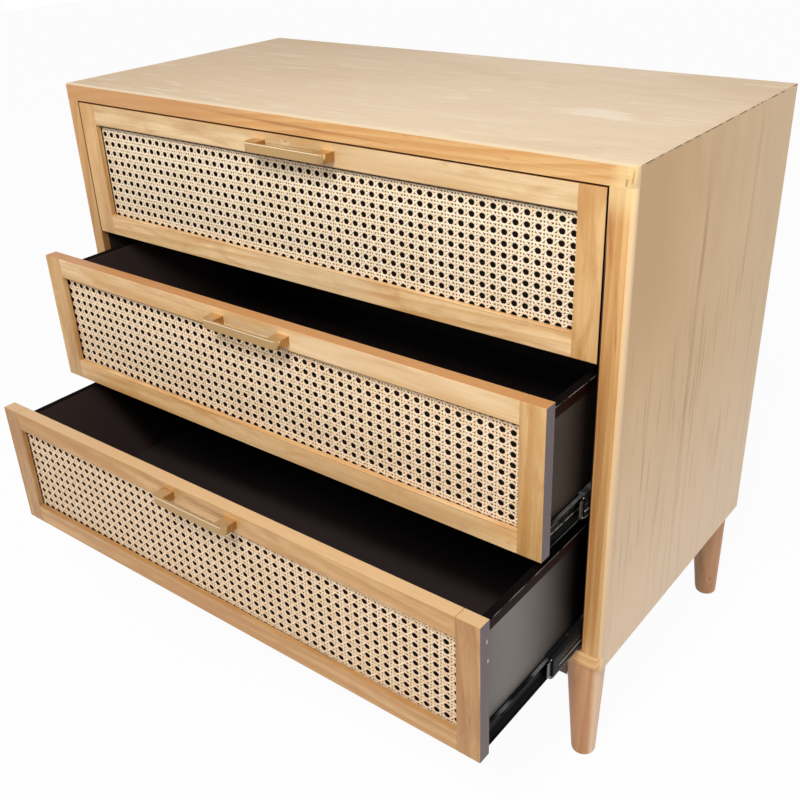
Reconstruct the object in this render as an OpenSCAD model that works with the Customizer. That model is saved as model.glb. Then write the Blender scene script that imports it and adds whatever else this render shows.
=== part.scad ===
// Chest of three drawers on four turned legs that lean outward. The case is mitred from veneered
// boards with solid wood lippings on its front edges and a rail under its front, the drawer fronts
// are wood frames filled with cane, and each drawer runs on a pair of three-part slides.
// X runs along the front, Y to the rear and Z up. The floor is Z = 0 and the middle of the
// case lies over the origin. The drawers are drawn as far open as their named openings say.

/* [Case] */
// Width of the case over its side boards
case_width = 800; // [500:10:1200]
// Depth of the case from its front face to its rear edge
case_depth = 400; // [320:5:600]
// Height of the case without its legs
case_height = 567; // [480:1:900]
// Thickness of the top board
top_thickness = 19; // [15:1:30]
// Thickness of each side board
side_thickness = 24; // [16:1:36]
// Thickness of the bottom board
bottom_thickness = 19; // [15:1:30]
// Depth of the solid wood lippings on the front edges
lipping_depth = 10; // [10:1:20]
// Radius of the upright corners at the front
corner_radius = 8; // [2:1:9]
// Thickness of the back board
back_thickness = 5; // [3:1:8]
// How far the back board laps behind the other boards on each side
back_lap = 8; // [4:1:10]
// How far the back board stands in from the rear edges
back_inset = 1; // [0.5:0.5:3]

/* [Legs] */
// Height of the legs
leg_height = 143; // [80:1:220]
// Diameter of a leg where it meets the case
leg_top_diameter = 46; // [30:1:48]
// Diameter of a leg at the floor
leg_foot_diameter = 28; // [18:1:30]
// Radius of the rounded edge at the foot
leg_foot_round = 3; // [1:0.5:5]
// Angle at which each leg leans outward to its corner of the case
leg_lean = 3.7; // [0:0.1:6]
// Distance from the side of the case to the middle of a leg's top
leg_side_inset = 29; // [25:1:80]
// Distance from the front or the rear of the case to the middle of a leg's top
leg_end_inset = 25; // [25:1:80]
// Diameter of the bolt that holds each leg
leg_bolt_diameter = 8; // [5:1:10]
// How far each bolt reaches into its leg
leg_bolt_reach = 35; // [20:1:60]
// How far each bolt stops below the top of the bottom board
leg_bolt_cover = 2; // [1:0.5:6]
// Height of the rail under the case between the front legs
rail_height = 36; // [20:1:60]
// Thickness of the rail under the case
rail_thickness = 18; // [12:1:30]
// Distance from the front of the case back to the rail under it
rail_inset = 12; // [12:1:30]
// Gap between the scribed ends of the rail and the legs
rail_gap = 0.5; // [0.3:0.1:1]

/* [Drawer fronts] */
// Gap between the drawer fronts and the case around them
edge_gap = 2; // [1:0.5:3]
// Gap between two drawer fronts
drawer_gap = 6; // [3:0.5:8]
// Thickness of the front frames
front_thickness = 16; // [14:1:24]
// Width of the upright stiles at both ends of a front
stile_width = 28; // [20:1:60]
// Width of the rails along the top and bottom of a front
rail_width = 26; // [26:1:40]
// Distance from the front of a frame back to its cane
cane_recess = 7; // [4:0.5:8]
// Thickness of the woven cane
cane_thickness = 2; // [1:0.5:3]
// How far the cane and the board behind it lap behind the frame
cane_lap = 8; // [4:1:8]
// Distance between gaps in the cane, which is drawn as a coarser net than the weave is
net_pitch = 28; // [20:1:40]
// Size of each gap in the cane across its corners
net_gap = 17; // [8:1:19]

/* [Handles] */
// Length of a handle over its ends
handle_length = 118; // [106:1:140]
// Height of a handle
handle_height = 10; // [10:1:14]
// How far a handle stands out from its front
handle_projection = 20; // [16:1:35]
// Thickness of a handle's grip
handle_grip = 3.5; // [3:0.5:8]
// Width of each foot of a handle
handle_foot = 17; // [14:1:24]
// Radius of a handle's outer corners
handle_corner = 8; // [2:0.5:8]
// Distance from each end of a handle to its screw
handle_screw_inset = 11; // [7:0.5:11]
// Diameter of the handle screws
screw_diameter = 4; // [3:0.5:5]
// Diameter of the heads of the handle screws
screw_head = 8; // [6:0.5:9]
// Height of the heads of the handle screws
screw_head_height = 2.5; // [2:0.5:4]
// How far a handle screw reaches into its handle
screw_reach = 10; // [5:1:12]

/* [Drawer boxes] */
// Thickness of the sides and the back of a drawer box
box_wall = 10; // [8:1:15]
// Distance from the top of a front down to the top of its box
box_drop = 18; // [10:1:40]
// Distance from the bottom of a front up to the bottom of its box
box_rise = 2.5; // [1:0.5:2.5]
// Thickness of the bottom of a drawer box
box_floor = 5; // [3:1:8]
// Distance from the drawer boxes back to the back board
rear_clearance = 28; // [5:1:60]
// Depth of the groove that holds the bottom of a box
groove_depth = 5; // [3:1:6]
// Distance from the lower edge of a box side up to its groove
groove_rise = 10; // [6:1:20]

/* [Slides] */
// Height of the slide member on the case
slide_height = 35; // [34:1:50]
// Thickness of a slide between the case and the drawer box
slide_thickness = 12.7; // [12.5:0.1:14]
// Wall thickness of the slide members
slide_wall = 1.2; // [1:0.1:1.4]
// Running gap between the webs of two slide members
running_gap = 0.4; // [0.3:0.05:0.5]
// Gap between the lips of two slide members, where the balls run
ball_gap = 0.9; // [0.4:0.1:1.6]
// Size of the bevels along the backs of the slide members
slide_bevel = 3; // [2:0.5:3]
// Distance between the mouths of the slide members and the box side
mouth_gap = 1.5; // [1:0.1:2]
// Gap between the bottom board and the lowest slides
slide_clearance = 0.5; // [0.5:0.5:10]
// Distance from the back of a front to the front ends of its slides
slide_setback = 4; // [2:1:6]
// How far the middle members stop short of the other two at each end
middle_setback = 20; // [4:1:30]

/* [Pose] */
// How far the middle drawer is drawn open
middle_opening = 92; // [0:1:240]
// How far the bottom drawer is drawn open
bottom_opening = 198; // [0:1:240]

/* [Hidden] */
$fn = 64;
CUT = 1;
PALE = [0.86, 0.78, 0.67];
HONEY = [0.85, 0.67, 0.43];
FRAME = [0.87, 0.74, 0.56];
CANE = [0.93, 0.87, 0.76];
DARK = [0.17, 0.14, 0.13];
GOLD = [0.71, 0.60, 0.42];
BLACK = [0.07, 0.07, 0.07];
STEEL = [0.62, 0.62, 0.62];

DRAWERS = ["top_drawer", "middle_drawer", "bottom_drawer"];
OPENINGS = [0, middle_opening, bottom_opening];
CASE_NODES = ["top_board", "left_side_board", "right_side_board", "bottom_board", "back_board",
    "top_lipping", "left_lipping", "right_lipping", "bottom_lipping",
    "front_left_leg", "front_right_leg", "rear_left_leg", "rear_right_leg", "leg_bolts",
    "support_rail"];
DRAWER_NODES = ["_top_rail", "_bottom_rail", "_left_stile", "_right_stile", "_cane", "_cane_backing",
    "_handle", "_handle_screws", "_left_side", "_right_side", "_back", "_floor",
    "_case_slides", "_middle_slides", "_box_slides"];

case_base = leg_height;
case_top = leg_height + case_height;
half_width = case_width / 2;
half_depth = case_depth / 2;
inner_half = half_width - side_thickness;
inner_base = case_base + bottom_thickness;
inner_top = case_top - top_thickness;
board_front = lipping_depth - half_depth;
back_rear = half_depth - back_inset;

leg_x = half_width - leg_side_inset;
leg_y = half_depth - leg_end_inset;
leg_top_radius = leg_top_diameter / 2;
leg_foot_radius = leg_foot_diameter / 2;
leg_bolt_top = inner_base - leg_bolt_cover;
leg_length = leg_height / cos(leg_lean);
leg_taper = (leg_top_radius - leg_foot_radius) / leg_length;

drawer_count = len(DRAWERS);
front_half = inner_half - edge_gap;
front_height = (inner_top - inner_base - 2 * edge_gap - (drawer_count - 1) * drawer_gap) / drawer_count;
window_half = front_half - stile_width;
window_height = front_height - 2 * rail_width;
rebate_depth = front_thickness - cane_recess;
backing_thickness = rebate_depth - cane_thickness;
net_columns = floor(2 * window_half / net_pitch);
net_rows = floor(window_height / net_pitch);

handle_z = front_height - rail_width / 2;

box_half = inner_half - slide_thickness;
box_height = front_height - box_drop - box_rise;
box_rear = case_depth - back_inset - back_thickness - rear_clearance;
floor_z = box_rise + groove_rise;
back_z = floor_z + box_floor;

slide_length = box_rear - front_thickness;
slides_front = front_thickness + slide_setback;
slide_z = slide_height / 2 + slide_clearance - edge_gap;
middle_height = slide_height - 2 * (slide_wall + ball_gap);
box_slide_height = middle_height - 2 * (slide_wall + ball_gap);
middle_offset = slide_wall + running_gap;
case_slide_depth = slide_thickness - mouth_gap;
middle_slide_depth = case_slide_depth - middle_offset;
box_slide_depth = slide_thickness - 2 * middle_offset - slide_bevel;

// Height of the lower edge of a drawer's front above the floor
function front_base(d) =
    inner_base + edge_gap + (drawer_count - 1 - d) * (front_height + drawer_gap);

// Places what moves with a share of a drawer's opening: 1 the drawer, 0.5 the middle slides, 0 the case
module at_drawer(d, share = 1) {
    translate([0, -half_depth - share * OPENINGS[d], front_base(d)]) children();
}

module both_sides() {
    children();
    mirror([1, 0, 0]) children();
}

module block(x0, x1, y0, y1, z0, z1) {
    translate([x0, y0, z0]) cube([x1 - x0, y1 - y0, z1 - z0]);
}

// A cross-section through the case, drawn in X and Z, made as deep as a board
module case_section(points) {
    translate([0, half_depth, 0])
        rotate([90, 0, 0])
            linear_extrude(height = case_depth - lipping_depth) polygon(points);
}

// The room that the back board takes in the rear edges of the other boards
module back_rebate() {
    block(-inner_half - back_lap, inner_half + back_lap, back_rear - back_thickness, half_depth + CUT,
        inner_base - back_lap, inner_top + back_lap);
}

// Plan of a front strip with both of its outer corners rounded
module strip_plan() {
    intersection() {
        translate([-half_width, -half_depth]) square([case_width, lipping_depth]);
        union() {
            translate([-half_width, corner_radius - half_depth])
                square([case_width, lipping_depth]);
            translate([corner_radius - half_width, -half_depth])
                square([case_width - 2 * corner_radius, lipping_depth]);
            for (side = [-1, 1])
                translate([side * (half_width - corner_radius), corner_radius - half_depth])
                    circle(r = corner_radius);
        }
    }
}

// Veneered boards of the case, mitred at its four corners

module top_board() {
    color(PALE) difference() {
        case_section([[-half_width, case_top], [half_width, case_top],
            [inner_half, inner_top], [-inner_half, inner_top]]);
        back_rebate();
    }
}

module side_board() {
    color(PALE) difference() {
        case_section([[half_width, case_base], [half_width, case_top],
            [inner_half, inner_top], [inner_half, inner_base]]);
        back_rebate();
    }
}

module bottom_board() {
    color(PALE) difference() {
        case_section([[-half_width, case_base], [half_width, case_base],
            [inner_half, inner_base], [-inner_half, inner_base]]);
        back_rebate();
        at_legs() translate([0, 0, case_base - CUT])
            cylinder(d = leg_bolt_diameter, h = leg_bolt_top - case_base + CUT);
    }
}

module back_board() {
    color(DARK)
        block(-inner_half - back_lap, inner_half + back_lap, back_rear - back_thickness, back_rear,
            inner_base - back_lap, inner_top + back_lap);
}

// Solid lippings on the front edges of the boards

module top_lipping() {
    color(HONEY) translate([0, 0, inner_top]) linear_extrude(height = top_thickness) strip_plan();
}

module bottom_lipping() {
    color(HONEY) translate([0, 0, case_base]) linear_extrude(height = bottom_thickness) strip_plan();
}

module side_lipping() {
    color(HONEY) translate([0, 0, inner_base])
        linear_extrude(height = inner_top - inner_base)
            intersection() {
                strip_plan();
                translate([inner_half, -half_depth]) square([side_thickness, lipping_depth]);
            }
}

// Turned legs, the bolts that hold them and the rail between the front ones

module at_leg(x_side, y_side) {
    translate([x_side * leg_x, y_side * leg_y, 0]) rotate([0, 0, atan2(y_side, x_side)]) children();
}

module at_legs() {
    for (x_side = [-1, 1])
        for (y_side = [-1, 1])
            at_leg(x_side, y_side) children();
}

// Turned cone along a leg's leaning axis, longer than the leg at both ends
module leaning_cone(gap = 0) {
    extra = leg_top_radius * tan(leg_lean) + CUT;
    translate([0, 0, leg_height])
        rotate([0, -leg_lean, 0])
            translate([0, 0, -leg_length - extra])
                cylinder(r1 = leg_foot_radius - leg_taper * extra + gap,
                    r2 = leg_top_radius + leg_taper * extra + gap, h = leg_length + 2 * extra);
}

// Upright bowl that cuts a leg level at the floor and at the case, and rounds its foot
module foot_bowl() {
    translate([leg_height * tan(leg_lean), 0, 0]) rotate_extrude() {
        polygon([[0, 0], [leg_foot_radius - leg_foot_round, 0], [leg_foot_radius, leg_foot_round],
            [2 * leg_top_radius, leg_height], [0, leg_height]]);
        translate([leg_foot_radius - leg_foot_round, leg_foot_round]) circle(r = leg_foot_round);
    }
}

module leg() {
    color(HONEY) difference() {
        intersection() {
            leaning_cone();
            foot_bowl();
        }
        translate([0, 0, leg_height - leg_bolt_reach])
            cylinder(d = leg_bolt_diameter, h = leg_bolt_reach + CUT);
    }
}

module leg_bolts() {
    color(STEEL) at_legs() translate([0, 0, leg_height - leg_bolt_reach])
        cylinder(d = leg_bolt_diameter, h = leg_bolt_reach + leg_bolt_top - case_base);
}

module support_rail() {
    color(HONEY) difference() {
        block(-leg_x, leg_x, rail_inset - half_depth, rail_inset + rail_thickness - half_depth,
            case_base - rail_height, case_base);
        for (side = [-1, 1])
            at_leg(side, -1) leaning_cone(rail_gap);
    }
}

// Drawer fronts: full-height stiles with the rails between them, rebated behind for the cane

module cane_space(lap, y0, y1) {
    block(-window_half - lap, window_half + lap, y0, y1, rail_width - lap, front_height - rail_width + lap);
}

module rail(z0) {
    color(FRAME) difference() {
        block(-window_half, window_half, 0, front_thickness, z0, z0 + rail_width);
        cane_space(cane_lap, cane_recess, front_thickness + CUT);
        handle_screw_holes();
    }
}

module stile() {
    color(FRAME) difference() {
        block(window_half, front_half, 0, front_thickness, 0, front_height);
        cane_space(cane_lap, cane_recess, front_thickness + CUT);
    }
}

module cane() {
    net_half = net_columns * net_pitch / 2;
    net_base = (front_height - net_rows * net_pitch) / 2;
    color(CANE) translate([0, cane_recess + cane_thickness, 0])
        rotate([90, 0, 0])
            linear_extrude(height = cane_thickness)
                difference() {
                    translate([-window_half - cane_lap, rail_width - cane_lap])
                        square([2 * (window_half + cane_lap), window_height + 2 * cane_lap]);
                    for (column = [0 : net_columns - 1])
                        for (row = [0 : net_rows - 1])
                            translate([(column + 0.5) * net_pitch - net_half,
                                (row + 0.5) * net_pitch + net_base])
                                circle(d = net_gap, $fn = 6);
                }
}

module cane_backing() {
    color(DARK) cane_space(cane_lap, front_thickness - backing_thickness, front_thickness);
}

// Handles: a flat grip on two feet, screwed on from inside the drawer

module at_handle_screws() {
    for (side = [-1, 1])
        translate([side * (handle_length / 2 - handle_screw_inset), 0, handle_z])
            rotate([-90, 0, 0]) children();
}

module handle_screw_holes() {
    at_handle_screws() translate([0, 0, -CUT])
        cylinder(d = screw_diameter, h = front_thickness + 2 * CUT);
}

module handle_plan() {
    inner_end = handle_length / 2 - handle_foot;
    difference() {
        union() {
            translate([-handle_length / 2, handle_corner - handle_projection])
                square([handle_length, handle_projection - handle_corner]);
            translate([handle_corner - handle_length / 2, -handle_projection])
                square([handle_length - 2 * handle_corner, handle_corner + CUT]);
            for (side = [-1, 1])
                translate([side * (handle_length / 2 - handle_corner), handle_corner - handle_projection])
                    circle(r = handle_corner);
        }
        translate([-inner_end, handle_grip - handle_projection])
            square([2 * inner_end, handle_projection - handle_grip + CUT]);
    }
}

module handle() {
    color(GOLD) difference() {
        translate([0, 0, handle_z - handle_height / 2])
            linear_extrude(height = handle_height) handle_plan();
        at_handle_screws() translate([0, 0, -screw_reach])
            cylinder(d = screw_diameter, h = screw_reach + CUT);
    }
}

module handle_screws() {
    color(STEEL) at_handle_screws() {
        translate([0, 0, -screw_reach])
            cylinder(d = screw_diameter, h = screw_reach + front_thickness + screw_head_height / 2);
        translate([0, 0, front_thickness]) cylinder(d = screw_head, h = screw_head_height);
    }
}

// Drawer boxes: grooved sides with the back between them and a thin floor in the grooves

module box_floor_space() {
    block(groove_depth - box_half, box_half - groove_depth, front_thickness, box_rear,
        floor_z, back_z);
}

module box_side() {
    color(DARK) difference() {
        block(box_half - box_wall, box_half, front_thickness, box_rear, box_rise, box_rise + box_height);
        box_floor_space();
    }
}

module box_back() {
    color(DARK)
        block(box_wall - box_half, box_half - box_wall, box_rear - box_wall, box_rear,
            back_z, box_rise + box_height);
}

module box_bottom() {
    color(DARK) box_floor_space();
}

// Slides: three nested channels a side, of which the middle one moves half as far as the drawer

module channel(height, depth, length) {
    bevel = slide_bevel;
    inner_bevel = slide_bevel - slide_wall * (2 - sqrt(2));
    half = height / 2;
    inner = half - slide_wall;
    translate([0, length, 0])
        rotate([90, 0, 0])
            linear_extrude(height = length)
                polygon([[0, -half + bevel], [bevel, -half], [depth, -half], [depth, -inner],
                    [slide_wall + inner_bevel, -inner], [slide_wall, -inner + inner_bevel],
                    [slide_wall, inner - inner_bevel], [slide_wall + inner_bevel, inner],
                    [depth, inner], [depth, half], [bevel, half], [0, half - bevel]]);
}

module case_slides() {
    color(BLACK) both_sides()
        translate([inner_half, slides_front, slide_z])
            mirror([1, 0, 0]) channel(slide_height, case_slide_depth, slide_length);
}

module middle_slides() {
    color(BLACK) both_sides()
        translate([inner_half - middle_offset, slides_front + middle_setback, slide_z])
            mirror([1, 0, 0])
                channel(middle_height, middle_slide_depth, slide_length - 2 * middle_setback);
}

module box_slides() {
    color(BLACK) both_sides()
        translate([box_half, slides_front, slide_z])
            channel(box_slide_height, box_slide_depth, slide_length - slide_setback);
}

top_board();
mirror([1, 0, 0]) side_board();  // left_side_board
side_board();  // right_side_board
bottom_board();
back_board();
top_lipping();
mirror([1, 0, 0]) side_lipping();  // left_lipping
side_lipping();  // right_lipping
bottom_lipping();
at_leg(-1, -1) leg();  // front_left_leg
at_leg(1, -1) leg();  // front_right_leg
at_leg(-1, 1) leg();  // rear_left_leg
at_leg(1, 1) leg();  // rear_right_leg
leg_bolts();
support_rail();
for (d = [0 : drawer_count - 1]) {
    at_drawer(d) rail(front_height - rail_width);
    at_drawer(d) rail(0);
    at_drawer(d) mirror([1, 0, 0]) stile();
    at_drawer(d) stile();
    at_drawer(d) cane();
    at_drawer(d) cane_backing();
    at_drawer(d) handle();
    at_drawer(d) handle_screws();
    at_drawer(d) mirror([1, 0, 0]) box_side();
    at_drawer(d) box_side();
    at_drawer(d) box_back();
    at_drawer(d) box_bottom();
    at_drawer(d, 0) case_slides();
    at_drawer(d, 0.5) middle_slides();
    at_drawer(d) box_slides();
}
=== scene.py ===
import math
import random

import bmesh
import bpy
import numpy as np
from mathutils import Matrix, Vector


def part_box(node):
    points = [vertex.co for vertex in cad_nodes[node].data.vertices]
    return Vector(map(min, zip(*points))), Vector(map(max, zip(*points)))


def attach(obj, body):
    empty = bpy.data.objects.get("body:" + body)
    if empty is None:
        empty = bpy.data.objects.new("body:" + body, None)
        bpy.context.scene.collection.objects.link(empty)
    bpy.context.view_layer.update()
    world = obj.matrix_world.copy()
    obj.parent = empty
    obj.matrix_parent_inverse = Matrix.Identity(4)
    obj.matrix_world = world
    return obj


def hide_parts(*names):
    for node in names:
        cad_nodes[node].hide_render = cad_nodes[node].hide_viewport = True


# The chest stands on the floor under its own middle, with X along the front, Y to the rear and
# Z up, all in metres. Its boards, fronts, boxes and slides come from the CAD frame.
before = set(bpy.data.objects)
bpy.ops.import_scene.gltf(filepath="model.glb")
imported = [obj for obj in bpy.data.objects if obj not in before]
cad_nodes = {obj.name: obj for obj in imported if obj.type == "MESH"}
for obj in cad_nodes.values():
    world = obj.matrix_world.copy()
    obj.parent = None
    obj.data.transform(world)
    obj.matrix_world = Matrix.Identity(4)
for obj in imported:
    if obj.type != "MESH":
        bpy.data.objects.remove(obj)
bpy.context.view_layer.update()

# The camera stands at eye height off the right front corner and looks down on the chest,
# leaning a little to the right as the photograph does.
LENS_MM = 45.23
SENSOR_MM = 36.0
NEAREST_SEEN = 0.01
CAMERA_PLACE = (0.7628, -0.9804, 0.9457)
CAMERA_TURN_DEG = (61.776, 2.170, 37.742)

camera = bpy.data.objects.new("camera", bpy.data.cameras.new("camera"))
camera.data.lens = LENS_MM
camera.data.sensor_width = SENSOR_MM
camera.data.clip_start = NEAREST_SEEN
camera.location = CAMERA_PLACE
camera.rotation_euler = [math.radians(angle) for angle in CAMERA_TURN_DEG]
bpy.context.scene.collection.objects.link(camera)
bpy.context.scene.camera = camera
bpy.context.scene.view_settings.view_transform = "Standard"

# A pale floor carries the chest in an even white studio. A soft lamp hangs in front of it, just to
# the right of its middle, and a weak one stands low at either side.
WHITE = (1.0, 1.0, 1.0, 1.0)
FLOOR_SIZE = 14.0
FLOOR_COLOUR = (0.88, 0.88, 0.88, 1.0)
FLOOR_ROUGHNESS = 0.9
FLOOR_GLOW_SHARE = 0.955
STUDIO_LIGHT = 0.35
LAMPS = {
    "key lamp": {"place": (0.58, -1.62, 2.0), "size": 0.65, "power": 42.3},
    "left lamp": {"place": (-2.4, -2.2, 1.0), "size": 1.8, "power": 8.0},
    "right lamp": {"place": (2.6, -0.3, 0.9), "size": 1.4, "power": 12.8},
}
LAMP_TARGET = Vector((0.0, -0.1, 0.4))


def fill_inputs(owner, node, inputs):
    """Sets a node's inputs by name or number, or links those that are given a node's output."""
    for key, value in inputs.items():
        socket = node.inputs[key.replace("_", " ") if isinstance(key, str) else key]
        if isinstance(value, bpy.types.NodeSocket):
            owner.node_tree.links.new(value, socket)
        else:
            socket.default_value = value


def add_node(owner, kind, settings=None, **inputs):
    """Adds a shader node of that kind, sets its options, and fills or links its inputs."""
    node = owner.node_tree.nodes.new("ShaderNode" + kind)
    for option, value in (settings or {}).items():
        setattr(node, option, value)
    fill_inputs(owner, node, inputs)
    return node


def calculate(owner, operation, *values):
    """One Math node, whose inputs are numbers or other nodes' outputs."""
    node = add_node(owner, "Math", {"operation": operation})
    fill_inputs(owner, node, dict(enumerate(values)))
    return node.outputs[0]


def set_surface(material, **inputs):
    """Sets or links inputs of the material's surface shader."""
    fill_inputs(material, material.node_tree.nodes["Principled BSDF"], inputs)


def new_material(name, roughness, **surface):
    material = bpy.data.materials.new(name)
    material.use_nodes = True
    set_surface(material, Roughness=roughness, **surface)
    return material


def seen_or_mirrored(owner):
    """Is 1 for rays from the camera and for those that metal mirrors or glass lets through."""
    path = add_node(owner, "LightPath").outputs
    rays = calculate(owner, "MAXIMUM", path["Is Camera Ray"], path["Is Glossy Ray"])
    return calculate(owner, "MAXIMUM", rays, path["Is Transmission Ray"])


def light_the_studio():
    world = bpy.data.worlds.new("studio")
    world.use_nodes = True
    bpy.context.scene.world = world
    strength = calculate(world, "MULTIPLY_ADD", seen_or_mirrored(world), 1 - STUDIO_LIGHT, STUDIO_LIGHT)
    fill_inputs(world, world.node_tree.nodes["Background"], {"Color": WHITE, "Strength": strength})


def add_lamp(name, place, size, power):
    lamp = bpy.data.objects.new(name, bpy.data.lights.new(name, "AREA"))
    lamp.data.shape = "SQUARE"
    lamp.data.size = size
    lamp.data.energy = power
    lamp.location = place
    lamp.rotation_euler = (LAMP_TARGET - lamp.location).to_track_quat("-Z", "Y").to_euler()
    bpy.context.scene.collection.objects.link(lamp)


def make_mesh_piece(name, points, faces, material, smooth=True):
    """A new piece from its points and faces, with one material."""
    mesh = bpy.data.meshes.new(name)
    mesh.from_pydata([tuple(point) for point in points], [], [tuple(face) for face in faces])
    mesh.materials.append(material)
    mesh.polygons.foreach_set("use_smooth", [smooth] * len(mesh.polygons))
    mesh.update()
    piece = bpy.data.objects.new(name, mesh)
    bpy.context.scene.collection.objects.link(piece)
    return piece


def make_floor():
    material = new_material("pale floor", FLOOR_ROUGHNESS, Base_Color=FLOOR_COLOUR)
    nodes = material.node_tree.nodes
    glow = add_node(material, "Emission", Color=WHITE, Strength=1.0)
    share = calculate(material, "MULTIPLY", seen_or_mirrored(material), FLOOR_GLOW_SHARE)
    mixed = add_node(material, "MixShader", Fac=share)
    fill_inputs(material, mixed, {1: nodes["Principled BSDF"].outputs[0], 2: glow.outputs[0]})
    fill_inputs(material, nodes["Material Output"], {"Surface": mixed.outputs[0]})
    half = FLOOR_SIZE / 2
    corners = [(-half, -half, 0), (half, -half, 0), (half, half, 0), (-half, half, 0)]
    make_mesh_piece("floor", corners, [(0, 1, 2, 3)], material)


light_the_studio()
for lamp_name, lamp in LAMPS.items():
    add_lamp(lamp_name, **lamp)
make_floor()

# The case is four boards mitred together. Each is faced outside with a pale washed veneer whose
# grain runs along the board, and its inner face is stained near black.
MM = 0.001
AXES = {"X": 0, "Y": 1, "Z": 2}
VENEER_PALE = (0.80, 0.625, 0.435)
VENEER_DEEP = (0.63, 0.445, 0.27)
VENEER_STREAK = (0.50, 0.33, 0.19)
SIDE_WARM = (0.69, 0.475, 0.275)
SIDE_DEEP = (0.56, 0.37, 0.205)
SIDE_STREAK = (0.42, 0.255, 0.13)
SIDE_BOUNCE_LIGHT = (0.80, 0.635, 0.475)
SIDE_CORNER_SHADE = (0.545, 0.35, 0.182)
STAIN_COLOUR = (0.016, 0.011, 0.010)
RAW_BOARD_COLOUR = (0.11, 0.085, 0.07)
SEAM_COLOUR = (0.15, 0.085, 0.045)
SEAM_BELOW_TOP = (1.3 * MM, 0.3 * MM)
RUBBED_COLOUR = (0.88, 0.76, 0.60)
PALE_PATCH = {"place": (0.275, -0.035, 0.710), "size": 34.0 * MM}
BOARD_EASE = 0.5 * MM
EASE_SEGMENTS = 2
EASE_ANGLE_DEG = 35
WELD_REACH = 0.01 * MM
RING_WANDER = 0.016
PORE_STRENGTH = 0.35
KNOT_STRENGTH = 0.9
KNOT_PUSH = 0.25
KNOT_SHADE = (0.6, 0.6, 0.6)
CASE_BOARDS = {
    "top_board": {"along": "X", "seed": 2.0, "rings": 0.04, "fibre": 0.16},
    "bottom_board": {"along": "X", "seed": 44.0, "rings": 0.15, "fibre": 0.3},
    "left_side_board": {"along": "Z", "seed": 31.0, "rings": 0.07, "fibre": 0.13},
    "right_side_board": {"along": "Z", "seed": 17.0, "rings": 0.07, "fibre": 0.13},
}
# Place across the grain, lower and upper end, half width, strength and lean across the grain
SIDE_STREAKS = (
    (-0.184, 0.13, 0.42, 4.0 * MM, 0.5, 0), (-0.132, 0.30, 0.52, 3.5 * MM, 0.4, 0),
    (-0.088, 0.13, 0.33, 3.0 * MM, 0.6, 0), (-0.067, 0.13, 0.34, 3.5 * MM, 0.6, 0),
    (-0.032, 0.13, 0.72, 5.0 * MM, 0.8, 0), (-0.007, 0.13, 0.56, 3.5 * MM, 0.6, 0),
    (0.101, 0.46, 0.72, 4.5 * MM, 0.7, 0), (0.112, 0.13, 0.29, 4.5 * MM, 0.6, 0),
    (0.146, 0.13, 0.34, 9.0 * MM, 0.5, 0),
)
# Slow changes of colour: axis, where each begins and ends, colour and strength. The first is painted light:
# the side pales towards its foot, where the floor's bounce lights it.
SIDE_SHADES = (("Z", 0.52, 0.16, SIDE_BOUNCE_LIGHT, 0.58), ("Y", -0.05, 0.2, VENEER_PALE, 0.35))
# Painted shade: the top darkens towards its left end, away from the lamps
TOP_SHADE = ("X", 0.15, -0.36, VENEER_DEEP, 0.62)
# Over which stretches the painted shade in the upper front corner of a side comes in, and how much
CORNER_STRETCHES = {"Y": (-0.04, -0.15), "Z": (0.44, 0.6)}
CORNER_STRENGTH = 0.8
# Between which heights the fine flecks become fewer, and their share below and everywhere
FLECKS_THIN_OUT = (0.62, 0.40)
FLECK_SHARES = (0.55, 0.12)

case_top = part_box("top_board")[1].z
inner_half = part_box("right_side_board")[0].x
inner_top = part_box("top_board")[0].z
inner_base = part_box("bottom_board")[1].z


def toned(colour, tone):
    """The colour with each channel multiplied by that of the tone."""
    return tuple(channel * share for channel, share in zip(colour, tone))


def mix_colours(material, share, under, over):
    """One colour laid over another. Each is a colour or a node's output, and so is the share."""
    node = add_node(material, "Mix", {"data_type": "RGBA"})
    layers = [layer if isinstance(layer, bpy.types.NodeSocket) else (*layer, 1.0) for layer in (under, over)]
    fill_inputs(material, node, {0: share, 6: layers[0], 7: layers[1]})
    return node.outputs[2]


def product(material, *shares):
    """Masks and strengths multiplied together."""
    whole = shares[0]
    for share in shares[1:]:
        whole = calculate(material, "MULTIPLY", whole, share)
    return whole


def spread(material, value, low, high, shape="SMOOTHSTEP"):
    """Stretches what lies between low and high over 0 to 1."""
    settings = {"interpolation_type": shape}
    return add_node(material, "MapRange", settings, Value=value, From_Min=low, From_Max=high).outputs[0]


def surface_point(material):
    return add_node(material, "TexCoord").outputs["Object"]


def object_place(material):
    """Where the surface lies along X, Y and Z, in metres."""
    return add_node(material, "SeparateXYZ", Vector=surface_point(material)).outputs


def speckle(material, scale, detail):
    """Plain noise, even in all directions."""
    point = surface_point(material)
    return add_node(material, "TexNoise", Vector=point, Scale=scale, Detail=detail).outputs[0]


def grain_noise(material, along, waves_along, waves_across, seed, detail=3.0, rough=0.5, bend=0.0):
    """Noise drawn out along the grain, counted in waves per metre each way."""
    scale = [waves_across] * 3
    scale[AXES[along]] = waves_along
    mapped = add_node(material, "Mapping", Vector=surface_point(material), Scale=scale)
    return add_node(
        material, "TexNoise", {"noise_dimensions": "4D"},
        Vector=mapped.outputs[0], W=seed, Scale=1.0, Detail=detail, Roughness=rough, Distortion=bend,
    ).outputs[0]


def length_of(material, vector):
    return add_node(material, "VectorMath", {"operation": "LENGTH"}, Vector=vector).outputs["Value"]


def knot_nearness(material, along, place, size):
    """Is 1 at a knot's middle and falls to 0 over its size, drawn out along the grain."""
    scale = [1.0 / size] * 3
    scale[AXES[along]] = 0.45 / size
    shift = [-scale[axis] * place[axis] for axis in range(3)]
    spot = add_node(material, "Mapping", Vector=surface_point(material), Scale=scale, Location=shift)
    return spread(material, length_of(material, spot.outputs[0]), 1.0, 0.0)


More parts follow.
